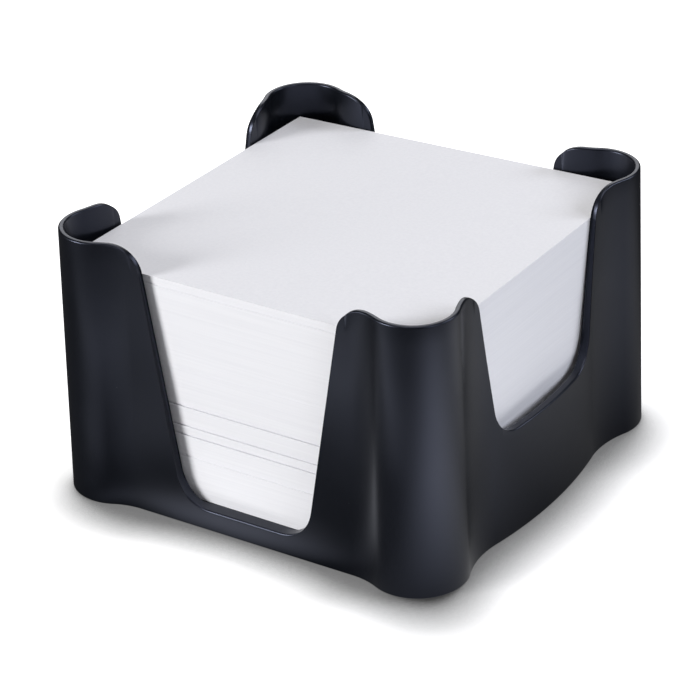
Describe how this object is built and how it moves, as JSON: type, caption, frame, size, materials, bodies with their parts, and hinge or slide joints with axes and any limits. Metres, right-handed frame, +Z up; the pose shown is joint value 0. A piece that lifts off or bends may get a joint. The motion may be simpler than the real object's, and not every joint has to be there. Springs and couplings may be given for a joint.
{
  "type": "note box",
  "caption": "Open square desk holder with round corner columns and finger notches in its walls, filled with loose white note sheets.",
  "frame": {"origin": "middle of the underside", "axes": "+Z up out of the open top, X across the two bulged walls, Y across the two flat walls"},
  "size_m": [0.1004, 0.1004, 0.0639],
  "materials": {
    "moulding": "satin black moulded plastic",
    "sheets": "uncoated white paper, cut edges"
  },
  "bodies": {
    "root": {"holder": "moulding", "paper_stack": "sheets"}
  },
  "joints": []
}
